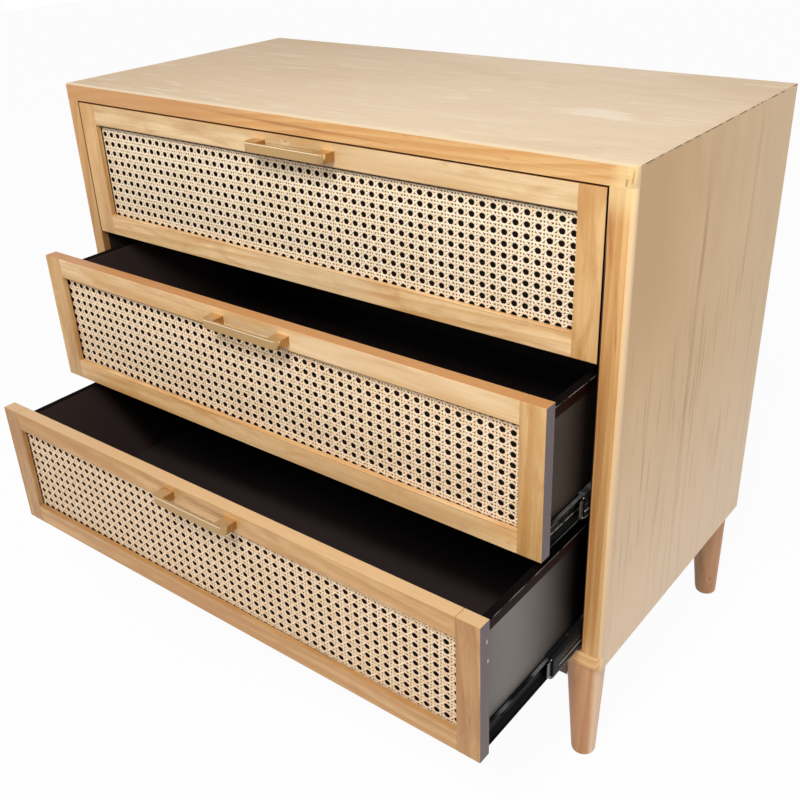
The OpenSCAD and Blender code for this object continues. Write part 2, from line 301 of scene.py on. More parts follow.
def ring_tone(material, along, seed, spacing, centre, knots):
    """Growth lines of a board sawn beside the heart: rises to 1 over each line, then drops."""
    saw = random.Random(seed)
    across = [axis for axis in "XYZ" if axis != along]
    place = object_place(material)
    wander = grain_noise(material, along, 2.2, 14.0, seed, detail=2.0)
    offsets = []
    for reach in (saw.uniform(0.012, 0.035), saw.uniform(0.045, 0.085)):
        reach *= saw.choice((-1, 1))
        offsets.append((reach, saw.uniform(0.012, 0.03) * saw.choice((-1, 1))))
    parts = []
    for axis, (reach, tilt) in zip(across, offsets if across[0] != "Y" else reversed(offsets)):
        start = calculate(material, "SUBTRACT", place[axis], centre[AXES[axis]] + reach)
        tilted = calculate(material, "MULTIPLY_ADD", place[along], tilt, start)
        parts.append(calculate(material, "MULTIPLY_ADD", wander, RING_WANDER, tilted))
    radius = length_of(material, add_node(material, "CombineXYZ", X=parts[0], Y=parts[1]).outputs[0])
    for knot_place, knot_size in knots:
        near = knot_nearness(material, along, knot_place, knot_size * 3.0)
        radius = calculate(material, "MULTIPLY_ADD", near, spacing * KNOT_PUSH, radius)
    turn = calculate(material, "FRACT", calculate(material, "DIVIDE", radius, spacing))
    return product(material, spread(material, turn, 0.15, 0.85), spread(material, turn, 1.0, 0.87))


def middle_of(name):
    low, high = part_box(name)
    return (low + high) / 2


def grained_wood(
    kind, name, along, seed, pale, deep, streak, tone=(1.0, 1.0, 1.0), spacing=6.0 * MM, rings=0.4,
    patches=0.5, streaks=0.35, fibre=0.3, knots=(), roughness=0.5, gloss=0.5, contrast=(0.1, 1.0),
):
    """Wood or veneer with its growth lines, fibres, pores, streaks and knots along one axis."""
    material = new_material(kind + " " + name, roughness, Specular_IOR_Level=gloss)
    lines = ring_tone(material, along, seed, spacing, middle_of(name), knots)
    fibres = grain_noise(material, along, 9.0, 430.0, seed + 3.1, detail=4.0, rough=0.6)
    clouds = grain_noise(material, along, 1.9, 15.0, seed + 7.7, bend=0.3)
    depth = product(material, spread(material, clouds, 0.3, 0.7, "LINEAR"), patches)
    depth = calculate(material, "MULTIPLY_ADD", lines, rings, depth)
    depth = calculate(material, "MULTIPLY_ADD", spread(material, fibres, 0.3, 0.7, "LINEAR"), fibre, depth)
    depth = spread(material, depth, *contrast, "LINEAR")
    colour = mix_colours(material, depth, toned(pale, tone), toned(deep, tone))
    long_streaks = grain_noise(material, along, 1.6, 75.0, seed + 12.3, rough=0.55, bend=0.4)
    streak_mask = product(material, spread(material, long_streaks, 0.55, 0.72), streaks)
    colour = mix_colours(material, streak_mask, colour, streak)
    pores = grain_noise(material, along, 42.0, 900.0, seed + 21.0, detail=1.0)
    pore_mask = product(material, spread(material, pores, 0.6, 0.72), PORE_STRENGTH)
    colour = mix_colours(material, pore_mask, colour, streak)
    for knot_place, knot_size in knots:
        knot_mask = product(material, knot_nearness(material, along, knot_place, knot_size), KNOT_STRENGTH)
        colour = mix_colours(material, knot_mask, colour, toned(streak, KNOT_SHADE))
    uneven = calculate(material, "MULTIPLY_ADD", fibres, 0.14, roughness - 0.07)
    bump = add_node(material, "Bump", Strength=0.35, Distance=0.00012, Height=fibres)
    set_surface(material, Base_Color=colour, Roughness=uneven, Normal=bump.outputs[0])
    return material


def within(material, axis, low=None, high=None):
    """Is 1 where the surface lies between two values along one axis, in metres."""
    value = object_place(material)[axis]
    shares = []
    if low is not None:
        shares.append(calculate(material, "GREATER_THAN", value, low))
    if high is not None:
        shares.append(calculate(material, "LESS_THAN", value, high))
    return product(material, *shares)


def rim(material, name, axis, side, width):
    """Is 1 within that width of a piece's upper or lower end along one axis."""
    low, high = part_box(name)
    if side > 0:
        return within(material, axis, high[AXES[axis]] - width)
    return within(material, axis, None, low[AXES[axis]] + width)


def facing(material, axis, sign):
    """Is 1 where the surface faces that way along one axis."""
    normal = add_node(material, "SeparateXYZ", Vector=add_node(material, "TexCoord").outputs["Normal"])
    return spread(material, product(material, normal.outputs[axis], sign), 0.7, 0.9)


def paint_where(material, colour, *masks):
    """Lays a flat colour over the surface where all the masks are 1."""
    shown = material.node_tree.nodes["Principled BSDF"].inputs["Base Color"].links[0].from_socket
    set_surface(material, Base_Color=mix_colours(material, product(material, *masks), shown, colour))


def finish_node(name, material, ease=0.0):
    """Gives a CAD node its finish and, where it is machined, a small eased edge."""
    piece = cad_nodes[name]
    piece.data.materials.clear()
    piece.data.materials.append(material)
    if ease:
        weld = piece.modifiers.new("weld", "WELD")
        weld.merge_threshold = WELD_REACH
        bevel = piece.modifiers.new("eased edges", "BEVEL")
        bevel.width = ease
        bevel.segments = EASE_SEGMENTS
        bevel.limit_method = "ANGLE"
        bevel.angle_limit = math.radians(EASE_ANGLE_DEG)
        bevel.harden_normals = True
    return piece


def shade_towards(material, axis, start, end, colour, strength):
    """The colour goes slowly over to another one along an axis."""
    paint_where(material, colour, spread(material, object_place(material)[axis], start, end), strength)


def blotches(material, along, seed, colour, waves, strength):
    """Soft darker or paler places where the finish soaked in more or was rubbed back."""
    broad = grain_noise(material, along, *waves, seed, rough=0.6, bend=0.8)
    paint_where(material, colour, spread(material, broad, 0.46, 0.68), strength)


def mark_streaks(material, along, across_axis, streaks, seed, colour):
    """Dark streaks at chosen places, each wavering and fading along its own length."""
    place = object_place(material)
    run = place[along]
    for number, (across, low, high, half_width, strength, lean) in enumerate(streaks):
        waver = grain_noise(material, along, 4.0, 4.0, seed + number, detail=2.0)
        shift = calculate(material, "MULTIPLY_ADD", waver, 5.0 * half_width, -2.5 * half_width - across)
        shift = calculate(material, "ADD", shift, lean * (low + high) / 2)
        shift = calculate(material, "MULTIPLY_ADD", run, -lean, shift)
        away = calculate(material, "ABSOLUTE", calculate(material, "ADD", place[across_axis], shift))
        ragged = grain_noise(material, along, 9.0, 300.0, seed + 3.0 * number)
        fade = (high - low) * 0.25
        paint_where(
            material, colour, spread(material, away, half_width * 1.6, 0.0), strength,
            spread(material, ragged, 0.25, 0.6), spread(material, run, low, low + fade),
            spread(material, run, high, high - fade),
        )


def fine_flecks(material, seed):
    """Many thin dark flecks along the side's grain, most of them in its lower half."""
    flecks = grain_noise(material, "Z", 8.5, 125.0, seed, bend=0.2)
    lower = spread(material, object_place(material)["Z"], *FLECKS_THIN_OUT)
    share = calculate(material, "MULTIPLY_ADD", lower, *FLECK_SHARES)
    paint_where(material, SIDE_STREAK, spread(material, flecks, 0.54, 0.66), share)


def paint_corner_shade(material):
    """Painted shade: the upper front corner of a side is a little darker."""
    place = object_place(material)
    masks = [spread(material, place[axis], *stretch) for axis, stretch in CORNER_STRETCHES.items()]
    paint_where(material, SIDE_CORNER_SHADE, *masks, CORNER_STRENGTH)


def broken_seam(material):
    """A dark broken line where the top veneer laps over the side."""
    seam = within(material, "Z", *(case_top - below for below in SEAM_BELOW_TOP))
    paint_where(material, SEAM_COLOUR, spread(material, speckle(material, 70.0, 3.0), 0.42, 0.52), seam)


def rubbed_top(material):
    """Short whitish rub marks and dark specks over the top, and a pale patch near its right end."""
    rubs = grain_noise(material, "X", 16.0, 95.0, 63.0, rough=0.6, bend=0.6)
    where = grain_noise(material, "X", 2.5, 7.0, 71.0, detail=2.0)
    masks = spread(material, rubs, 0.54, 0.66), spread(material, where, 0.45, 0.6)
    paint_where(material, RUBBED_COLOUR, *masks, 0.45)
    patch = knot_nearness(material, "X", **PALE_PATCH)
    ragged = spread(material, grain_noise(material, "X", 14.0, 85.0, 77.0), 0.3, 0.7)
    patch = calculate(material, "MULTIPLY_ADD", patch, 1.3, ragged)
    paint_where(material, RUBBED_COLOUR, spread(material, patch, 0.6, 1.55), 0.7)
    specks = grain_noise(material, "X", 30.0, 150.0, 83.0, detail=2.0)
    paint_where(material, VENEER_STREAK, spread(material, specks, 0.68, 0.76), 0.5)


def stain_inner_face(material):
    across = within(material, "X", -inner_half - BOARD_EASE, inner_half + BOARD_EASE)
    upright = within(material, "Z", inner_base - BOARD_EASE, inner_top + BOARD_EASE)
    paint_where(material, STAIN_COLOUR, across, upright)


for board_name, cut in CASE_BOARDS.items():
    colours = (SIDE_WARM, SIDE_DEEP) if "side" in board_name else (VENEER_PALE, VENEER_DEEP)
    veneer = grained_wood(
        "veneer on", board_name, pale=colours[0], deep=colours[1], streak=VENEER_STREAK,
        spacing=8.0 * MM, patches=0.3, streaks=0.08, roughness=0.6, gloss=0.3, **cut,
    )
    if "side" in board_name:
        blotches(veneer, "Z", cut["seed"] + 51.0, SIDE_DEEP, (3.5, 11.0), 0.45)
        mark_streaks(veneer, "Z", "Y", SIDE_STREAKS, cut["seed"], SIDE_STREAK)
        fine_flecks(veneer, cut["seed"] + 90.0)
        # Painted light pales each side towards its foot; the second change pales it towards the rear
        for shade in SIDE_SHADES:
            shade_towards(veneer, *shade)
        # painted shade in the upper front corner
        paint_corner_shade(veneer)
        broken_seam(veneer)
    if board_name == "top_board":
        blotches(veneer, "X", cut["seed"] + 51.0, VENEER_DEEP, (3.0, 7.0), 0.5)
        # painted shade towards the top's left end
        shade_towards(veneer, *TOP_SHADE)
        rubbed_top(veneer)
    stain_inner_face(veneer)
    if board_name == "bottom_board":
        paint_where(veneer, RAW_BOARD_COLOUR, facing(veneer, "Z", -1))
    finish_node(board_name, veneer, BOARD_EASE)

# Solid pine lippings cover the front edges of the four boards. The top and bottom strips run the
# full width with rounded ends, and the side strips stand between them.
LIPPING_PALE = (0.80, 0.545, 0.27)
LIPPING_DEEP = (0.54, 0.27, 0.085)
LIPPING_STREAK = (0.33, 0.115, 0.03)
LIPPING_TOP = (0.86, 0.68, 0.42)
LIPPING_EASE = 0.6 * MM
LIPPING_END = 10.0 * MM
TOP_STRENGTH = 0.85
# The rounded outer arris of each side strip is paler: partly paler wood, partly a painted highlight where
# the rounding turns to the lamps
ARRIS_HIGHLIGHT_WIDTH = 3.5 * MM
ARRIS_HIGHLIGHT_COLOUR = (0.84, 0.64, 0.36)
ARRIS_HIGHLIGHT_STRENGTH = 0.5
# Painted shade in the gaps beside the fronts: near black on the right and under the top strip, shaded wood
# on the left
GAP_SHADE_COLOUR = (0.03, 0.010, 0.005)
LEFT_GAP_SHADE_COLOUR = (0.33, 0.15, 0.05)
# From where to where the faces beside the fronts are painted with the gap's shade, measured outward from the
# opening
INNER_FACE = (-1.0 * MM, 0.5 * MM)
# A painted shadow line beside the top drawer comes in between two heights
SHADOW_LINE = 1.2 * MM
SHADOW_HEIGHTS = (0.68, 0.60)
CORNER_COLOUR = (0.77, 0.56, 0.27)
CRACK_COLOUR = (0.30, 0.165, 0.055)
# Short cracks in the right corner, in the rows of the side streaks
CORNER_CRACKS = (
    (0.3925, 0.6915, 0.700, 1.4 * MM, 1.0, 0.1), (0.3968, 0.6935, 0.7075, 0.55 * MM, 0.8, 0.12),
)
LIPPINGS = {
    "top_lipping": {"along": "X", "seed": 5.0, "tone": (1.0, 1.0, 0.96)},
    "bottom_lipping": {"along": "X", "seed": 9.0, "tone": (0.95, 0.88, 0.80)},
    "left_lipping": {"along": "Z", "seed": 13.0, "tone": (0.72, 0.61, 0.42)},
    "right_lipping": {"along": "Z", "seed": 23.0, "tone": (0.90, 0.845, 0.73)},
}
# As for the side streaks, with the axis across the grain before them
LIPPING_STREAKS = {
    "top_lipping": (
        ("Z", 0.7018, -0.17, 0.09, 1.6 * MM, 0.85, -0.034), ("Z", 0.7005, -0.10, 0.16, 1.0 * MM, 0.6, -0.02),
    ),
    "right_lipping": (
        ("X", 0.380, 0.17, 0.56, 3.0 * MM, 0.75, 0.0), ("X", 0.380, 0.61, 0.69, 2.5 * MM, 0.7, -0.08),
        ("X", 0.3905, 0.53, 0.61, 1.3 * MM, 0.8, -0.05), ("X", 0.388, 0.20, 0.42, 1.5 * MM, 0.45, 0.0),
        ("X", 0.385, 0.27, 0.58, 9.0 * MM, 0.32, 0.0),
    ),
}
LIPPING_SHADES = {
    "top_lipping": (
        ("X", -0.03, -0.18, LIPPING_DEEP, 0.66), ("X", -0.05, -0.20, LIPPING_STREAK, 0.27),
        ("X", 0.24, 0.34, LIPPING_DEEP, 0.2), ("X", 0.374, 0.388, CORNER_COLOUR, 0.55),
    ),
    "right_lipping": (("Z", 0.655, 0.685, CORNER_COLOUR, 0.55),),
}

for strip_name, cut in LIPPINGS.items():
    strip_wood = grained_wood(
        "pine of", strip_name, pale=LIPPING_PALE, deep=LIPPING_DEEP, streak=LIPPING_STREAK,
        spacing=4.5 * MM, rings=0.3, patches=0.75, streaks=0.4, fibre=0.25, roughness=0.42, **cut,
    )
    for number, (across_axis, *streak) in enumerate(LIPPING_STREAKS.get(strip_name, ())):
        streak_seed = cut["seed"] + 5.0 * number
        mark_streaks(strip_wood, cut["along"], across_axis, (streak,), streak_seed, LIPPING_STREAK)
    # paler wood and painted highlight on the rounded outer arris
    if cut["along"] == "Z":
        side = 1 if "right" in strip_name else -1
        rounded = rim(strip_wood, strip_name, "X", side, ARRIS_HIGHLIGHT_WIDTH)
        paint_where(strip_wood, ARRIS_HIGHLIGHT_COLOUR, rounded, ARRIS_HIGHLIGHT_STRENGTH)
    # The strips' faces beside the fronts get painted shade, and their outer ends the side's colour
    for side, gap_shade in ((-1, LEFT_GAP_SHADE_COLOUR), (1, GAP_SHADE_COLOUR)):
        outside = rim(strip_wood, "top_lipping", "X", side, LIPPING_END)
        paint_where(strip_wood, SIDE_WARM, outside, facing(strip_wood, "X", side))
        opening = within(strip_wood, "X", *sorted(side * (inner_half + reach) for reach in INNER_FACE))
        paint_where(strip_wood, gap_shade, opening, facing(strip_wood, "X", -side))
    for shade in LIPPING_SHADES.get(strip_name, ()):
        shade_towards(strip_wood, *shade)
    if strip_name == "right_lipping":
        shadow = spread(strip_wood, object_place(strip_wood)["Z"], *SHADOW_HEIGHTS)
        paint_where(strip_wood, GAP_SHADE_COLOUR, shadow, within(strip_wood, "X", None, inner_half + SHADOW_LINE))
    if strip_name == "top_lipping":
        mark_streaks(strip_wood, "Z", "X", CORNER_CRACKS, 33.0, CRACK_COLOUR)
        # painted shade on the top strip's underside, over the top drawer
        paint_where(strip_wood, GAP_SHADE_COLOUR, facing(strip_wood, "Z", -1))
        paint_where(strip_wood, LIPPING_TOP, facing(strip_wood, "Z", 1), TOP_STRENGTH)
    finish_node(strip_name, strip_wood, LIPPING_EASE)

# The back is one thin board stained near black. It is let into the rear edges of the case and
# fixed with small zinc-plated nails round its rim.
BACK_STAIN = (0.030, 0.022, 0.018)
BACK_EASE = 0.3 * MM
ZINC_COLOUR = (0.62, 0.62, 0.60)
DULLED = (0.82, 0.82, 0.82)
NAIL_RADIUS = 1.6 * MM
NAIL_RISE = 0.5 * MM
NAIL_SIDES = 16
NAIL_INSET = 4.0 * MM
NAIL_SPACING = 0.11


def plain_stain(name, colour, seed, roughness=0.4, **surface):
    """Near-black stain over board, with faint fibres and a slight unevenness in its gloss."""
    material = new_material(name, roughness, **surface)
    fibres = grain_noise(material, "X", 12.0, 260.0, seed)
    smears = grain_noise(material, "X", 5.0, 9.0, seed + 4.0)
    lighter = [min(1.0, channel * 2.1 + 0.004) for channel in colour]
    share = calculate(material, "MULTIPLY_ADD", fibres, 0.35, product(material, smears, 0.35))
    shown = mix_colours(material, share, colour, lighter)
    gloss = calculate(material, "MULTIPLY_ADD", smears, 0.22, roughness - 0.11)
    bump = add_node(material, "Bump", Strength=0.25, Distance=0.0001, Height=fibres)
    set_surface(material, Base_Color=shown, Roughness=gloss, Normal=bump.outputs[0])
    return material


def brushed_metal(name, colour, along, roughness):
    """Metal with fine brush lines along one axis."""
    material = new_material(name, roughness, Metallic=1.0)
    lines = grain_noise(material, along, 30.0, 2600.0, 1.5, detail=2.0)
    shown = mix_colours(material, lines, toned(colour, DULLED), colour)
    gloss = calculate(material, "MULTIPLY_ADD", lines, 0.16, roughness - 0.08)
    set_surface(material, Base_Color=shown, Roughness=gloss)
    return material


def lathe_points(profile, sides):
    """Turns a profile of (radius, height) pairs round the Z axis and closes both ends."""
    points, faces = [], []
    for radius, height in profile:
        for step in range(sides):
            angle = 2 * math.pi * step / sides
            points.append(Vector((radius * math.cos(angle), radius * math.sin(angle), height)))
    for ring in range(len(profile) - 1):
        for step in range(sides):
            here, there = ring * sides + step, ring * sides + (step + 1) % sides
            faces.append((here, there, there + sides, here + sides))
    faces.append(tuple(reversed(range(sides))))
    faces.append(tuple((len(profile) - 1) * sides + step for step in range(sides)))
    return points, faces


def copies_in_one(name, form, placings, material, smooth=True):
    """One piece that holds the same small form at several places."""
    points, faces = [], []
    for placing in placings:
        first = len(points)
        points += [placing @ point for point in form[0]]
        faces += [tuple(first + corner for corner in face) for face in form[1]]
    return make_mesh_piece(name, points, faces, material, smooth)


def evenly(low, high, spacing):
    """Places from low to high, evenly apart and no wider than the spacing."""
    count = max(2, math.ceil((high - low) / spacing) + 1)
    return [low + (high - low) * step / (count - 1) for step in range(count)]


back_stain = plain_stain("stain of the back board", BACK_STAIN, 3.0, roughness=0.6)
finish_node("back_board", back_stain, BACK_EASE)

zinc = brushed_metal("zinc plate", ZINC_COLOUR, "X", 0.35)
nail_profile = [(NAIL_RADIUS, 0.0), (NAIL_RADIUS * 0.96, NAIL_RISE * 0.6), (NAIL_RADIUS * 0.7, NAIL_RISE)]
nail_form = lathe_points(nail_profile, NAIL_SIDES)
nail_turn = Matrix.Rotation(math.radians(-90), 4, "X")
back_low, back_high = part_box("back_board")
nail_xs = back_low.x + NAIL_INSET, back_high.x - NAIL_INSET
nail_zs = back_low.z + NAIL_INSET, back_high.z - NAIL_INSET
nail_places = [(x, z) for x in evenly(*nail_xs, NAIL_SPACING) for z in nail_zs]
nail_places += [(x, z) for z in evenly(*nail_zs, NAIL_SPACING)[1:-1] for x in nail_xs]
nail_placings = [Matrix.Translation((x, back_high.y, z)) @ nail_turn for x, z in nail_places]
back_nails = copies_in_one("back_nails", nail_form, nail_placings, zinc)
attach(back_nails, "case")

# Four turned and tapered pine legs lean outward, each screwed up against the case on a hanger bolt.
# A rough brown rail is glued under the case between the front ones and scribed to them.
LEGS = ("front_left_leg", "front_right_leg", "rear_left_leg", "rear_right_leg")
LEG_PALE = (0.60, 0.325, 0.16)
LEG_DEEP = (0.39, 0.175, 0.072)
LEG_STREAK = (0.33, 0.135, 0.055)
# The front right leg's tone is darkened overall as painted shade, and its right side is painted lighter as
# painted light
LEG_LIT_SIDE = (0.75, 0.525, 0.35)
LEG_LIT_SIDE_STRENGTH = 0.75
LEG_SHADE_TONES = {"front_right_leg": (0.91, 0.87, 0.82)}
LEG_KNOTS = {"rear_right_leg": ((Vector((0.388, 0.168, 0.030)), 3.2 * MM),)}
RAIL_PALE = (0.19, 0.12, 0.08)
RAIL_DEEP = (0.11, 0.065, 0.04)
RAIL_STREAK = (0.07, 0.035, 0.02)
RAIL_EASE = 0.5 * MM

for leg_number, leg_name in enumerate(LEGS):
    leg_wood = grained_wood(
        "pine of", leg_name, "Z", 50.0 + 6.0 * leg_number, LEG_PALE, LEG_DEEP, LEG_STREAK,
        LEG_SHADE_TONES.get(leg_name, (1.0, 1.0, 1.0)), rings=0.28, streaks=0.3, knots=LEG_KNOTS.get(leg_name, ()),
    )
    # painted light on the front right leg's right side
    if leg_name == "front_right_leg":
        paint_where(leg_wood, LEG_LIT_SIDE, facing(leg_wood, "X", 1), LEG_LIT_SIDE_STRENGTH)
    leg = finish_node(leg_name, leg_wood)
    leg.data.polygons.foreach_set("use_smooth", [True] * len(leg.data.polygons))
finish_node("leg_bolts", zinc)
rail_colours = RAIL_PALE, RAIL_DEEP, RAIL_STREAK
rail_wood = grained_wood("wood of", "support_rail", "X", 77.0, *rail_colours, roughness=0.75)
finish_node("support_rail", rail_wood, RAIL_EASE)

# Each drawer front is a frame of light pine: two full-height stiles with the rails glued between
# them. Its outer ends and its back are stained like the drawer box.
DRAWERS = ("top_drawer", "middle_drawer", "bottom_drawer")
FRAME_PALE = (0.82, 0.61, 0.36)
FRAME_DEEP = (0.57, 0.33, 0.125)
FRAME_STREAK = (0.42, 0.20, 0.06)
SOAKED_COLOUR = (0.50, 0.255, 0.095)
FRAME_EASE = 0.7 * MM
FRAME_CONTRAST = (0.24, 0.90)
FRAME_PARTS = {"_top_rail": "X", "_bottom_rail": "X", "_left_stile": "Z", "_right_stile": "Z"}
# The fronts were cut from different boards, so each has its own tones
FRAME_TONES = {
    "top_drawer": {
        "_top": (0.875, 0.87, 0.84), "_bottom": (1.14, 1.09, 1.03), "stile": (0.86, 0.75, 0.575),
    },
    "middle_drawer": {
        "_top": (0.97, 0.97, 0.97), "_bottom": (1.13, 1.04, 0.93), "stile": (0.82, 0.73, 0.575),
    },
    "bottom_drawer": {
        "_top": (0.76, 0.66, 0.53), "_bottom": (0.77, 0.66, 0.54), "stile": (0.60, 0.47, 0.348),
    },
}
# Stain of the fronts' outer ends; the top drawer's is darker as painted shade in the gap beside the case
END_STAINS_AND_GAP_SHADE = {
    "top_drawer": (0.016, 0.011, 0.011), "middle_drawer": (0.090, 0.060, 0.067),
    "bottom_drawer": (0.090, 0.060, 0.067),
}
# Tints of the fronts' top faces; the top drawer's is darkened as painted shade in the gap under the top
# strip
TOP_TINTS_AND_GAP_SHADE = {
    "top_drawer": (0.27, 0.085, 0.012), "middle_drawer": (0.50, 0.215, 0.065),
    "bottom_drawer": (0.69, 0.45, 0.235),
}
# Two small pale nicks in the stain of the lowest front's right end
END_NICKS = {
    "bottom_drawer_right_stile": (Vector((0.374, -0.3869, 0.3116)), Vector((0.374, -0.3851, 0.2872))),
}
NICK_SIZE = 1.8 * MM
NICK_COLOUR = (0.62, 0.58, 0.55)
# A painted shadow line on each rail beside the window
WINDOW_SHADE_LINE = 1.1 * MM
WINDOW_SHADE_LINE_COLOUR = (0.26, 0.125, 0.05)
WINDOW_SHADE_LINE_STRENGTH = 0.6
FRAME_KNOTS = {
    "top_drawer_top_rail": ((Vector((-0.011, -0.2, 0.683)), 2.0 * MM),),
    "middle_drawer_left_stile": ((Vector((-0.366, -0.292, 0.455)), 2.5 * MM),),
    "bottom_drawer_right_stile": ((Vector((0.362, -0.398, 0.215)), 2.2 * MM),),
}
# Pale sapwood along a rail: where it begins and ends, and its strength
SAPWOOD = {
    "top_drawer_top_rail": (0.02, 0.24, 0.30), "middle_drawer_top_rail": (0.0, 0.37, 0.50),
    "top_drawer_bottom_rail": (-0.13, 0.13, 0.45), "middle_drawer_bottom_rail": (-0.1, 0.34, 0.22),
}
SAPWOOD_COLOUR = (0.80, 0.62, 0.40)
SAPWOOD_FADE = 0.07


def sapwood(material, start, end, strength):
    """A paler stretch of a rail, which comes and goes slowly."""
    run = object_place(material)["X"]
    mottle = grain_noise(material, "X", 6.0, 60.0, 91.0)
    paint_where(
        material, SAPWOOD_COLOUR, spread(material, run, start, start + SAPWOOD_FADE),
        spread(material, run, end, end - SAPWOOD_FADE), spread(material, mottle, 0.25, 0.6), strength,
    )


for drawer_number, drawer in enumerate(DRAWERS):
    for part_number, (part, along) in enumerate(FRAME_PARTS.items()):
        name = drawer + part
        tone = next(tone for kind, tone in FRAME_TONES[drawer].items() if kind in part)
        frame_seed = 80.0 + 10.0 * drawer_number + 2.3 * part_number
        frame_wood = grained_wood(
            "pine of", name, along, frame_seed, FRAME_PALE, FRAME_DEEP, FRAME_STREAK, tone,
            spacing=7.0 * MM, rings=0.30, patches=0.7, streaks=0.45, fibre=0.25, contrast=FRAME_CONTRAST,
            knots=FRAME_KNOTS.get(name, ()), roughness=0.45,
        )
        blotches(frame_wood, along, frame_seed + 40.0, toned(FRAME_DEEP, tone), (7.0, 22.0), 0.7)
        blotches(frame_wood, along, frame_seed + 60.0, toned(SOAKED_COLOUR, tone), (13.0, 60.0), 0.55)
        if name in SAPWOOD:
            sapwood(frame_wood, *SAPWOOD[name])
        if part.endswith("rail"):
            # painted shadow along the rail's edge beside the window
            beside = rim(frame_wood, name, "Z", -1 if "top" in part else 1, WINDOW_SHADE_LINE)
            front = facing(frame_wood, "Y", -1)
            paint_where(frame_wood, WINDOW_SHADE_LINE_COLOUR, beside, front, WINDOW_SHADE_LINE_STRENGTH)
        # top faces tinted, the top drawer's with painted gap shade
        if part != "_bottom_rail":
            paint_where(frame_wood, TOP_TINTS_AND_GAP_SHADE[drawer], facing(frame_wood, "Z", 1), TOP_STRENGTH)
        if part.endswith("stile"):
            outward = 1 if "right" in part else -1
            # outer ends stained, the top drawer's darkened as painted gap shade
            paint_where(frame_wood, END_STAINS_AND_GAP_SHADE[drawer], facing(frame_wood, "X", outward))
            for nick in END_NICKS.get(name, ()):
                paint_where(frame_wood, NICK_COLOUR, knot_nearness(frame_wood, "Z", nick, NICK_SIZE))
        paint_where(frame_wood, STAIN_COLOUR, facing(frame_wood, "Y", 1))
        finish_node(name, frame_wood, FRAME_EASE)

# Half-inch cane webbing fills each front: upright and level strands in woven pairs, and two sets
# of single slanting strands over and under them. A near-black board lies close behind it.
PITCH_ACROSS = 12.6 * MM
PITCH_UP = 11.9 * MM
PAIR_OFFSET = 1.85 * MM
BUMP_REACH = 1.3 * MM
STRAND_WIDTH = 2.3 * MM
SLANT_WIDTH = 2.35 * MM
STRAND_THICKNESS = 0.55 * MM
STRAND_EDGE = 0.25 * MM
PAIR_LIFT = 0.28 * MM
SLANT_LIFT = 0.55 * MM
SLANT_FLATNESS = 2.2
RINGS_PER_PITCH = 6
SECTION_CORNERS = 5
CANE_COLOUR = (0.98, 0.91, 0.78)
CANE_DEEP = (0.78, 0.60, 0.37)
CANE_EDGE = (0.28, 0.16, 0.075)
CANE_EDGE_STRENGTH = 0.7
CANE_ROUGHNESS = 0.42
CANE_HIDDEN_EDGE = 4.0 * MM
CANE_OVERRUN = 12.0 * MM
CANE_TONE = {
    "top_drawer": (0.97, 0.90, 0.81), "middle_drawer": (0.98, 0.86, 0.75),
    "bottom_drawer": (0.88, 0.75, 0.63),
}
FIRST_HOLE = {
    "top_drawer": {"from_left": 5.2 * MM, "below_top": 12.2 * MM, "turn_deg": 0.0},
    "middle_drawer": {"from_left": 1.0 * MM, "below_top": 8.6 * MM, "turn_deg": 0.55},
    "bottom_drawer": {"from_left": 8.0 * MM, "below_top": 11.4 * MM, "turn_deg": 0.55},
}
# Painted shadow on the cane below the top rail and beside the stiles, where the frame overhangs the recessed
# cane
CANE_SHADOW_COLOUR = (0.045, 0.022, 0.010)
CANE_SHADOW_STRENGTH = 0.97
CANE_SHADOW_AT_SIDES = 1.6 * MM
CANE_SHADOW_FADE = 1.2 * MM
CANE_SHADOW_BELOW_TOP = {"top_drawer": 4.8 * MM, "middle_drawer": 5.8 * MM, "bottom_drawer": 7.2 * MM}
BACKING_STAIN = (0.005, 0.003, 0.002)
BACKING_ROUGHNESS = 0.85
BACKING_SHEEN = 0.05


def window_of(drawer):
    """The left, right, lower and upper edge of the opening that the cane fills."""
    left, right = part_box(drawer + "_left_stile")[1].x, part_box(drawer + "_right_stile")[0].x
    return left, right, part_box(drawer + "_bottom_rail")[1].z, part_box(drawer + "_top_rail")[0].z


def cane_finish(drawer):
    """Peeled cane, darker at its edges, with painted shadow along the top and sides of the window."""
    material = new_material("cane of " + drawer, CANE_ROUGHNESS)
    shade = add_node(material, "Attribute", {"attribute_name": "strand_shade"}).outputs["Fac"]
    flecks = speckle(material, 900.0, 3.0)
    share = calculate(material, "MULTIPLY_ADD", shade, 0.45, product(material, flecks, 0.35))
    pale, deep = toned(CANE_COLOUR, CANE_TONE[drawer]), toned(CANE_DEEP, CANE_TONE[drawer])
    bump = add_node(material, "Bump", Strength=0.3, Distance=0.0001, Height=flecks)
    set_surface(material, Base_Color=mix_colours(material, share, pale, deep), Normal=bump.outputs[0])
    edge = add_node(material, "Attribute", {"attribute_name": "strand_edge"}).outputs["Fac"]
    paint_where(material, CANE_EDGE, spread(material, edge, 0.62, 1.0), CANE_EDGE_STRENGTH)
    place = object_place(material)
    left, right, _, top = window_of(drawer)
    # painted shadow below the window's top and along its sides
    from_top = calculate(material, "SUBTRACT", top, place["Z"])
    cane_shadow = spread(material, from_top, CANE_SHADOW_BELOW_TOP[drawer], CANE_SHADOW_BELOW_TOP[drawer] - CANE_SHADOW_FADE)
    for window_edge, outward in ((left, -1), (right, 1)):
        inward = calculate(material, "MULTIPLY_ADD", place["X"], -outward, outward * window_edge)
        beside = spread(material, inward, CANE_SHADOW_AT_SIDES, CANE_SHADOW_AT_SIDES * 0.4)
        cane_shadow = calculate(material, "MAXIMUM", cane_shadow, beside)
    paint_where(material, CANE_SHADOW_COLOUR, cane_shadow, CANE_SHADOW_STRENGTH)
    return material


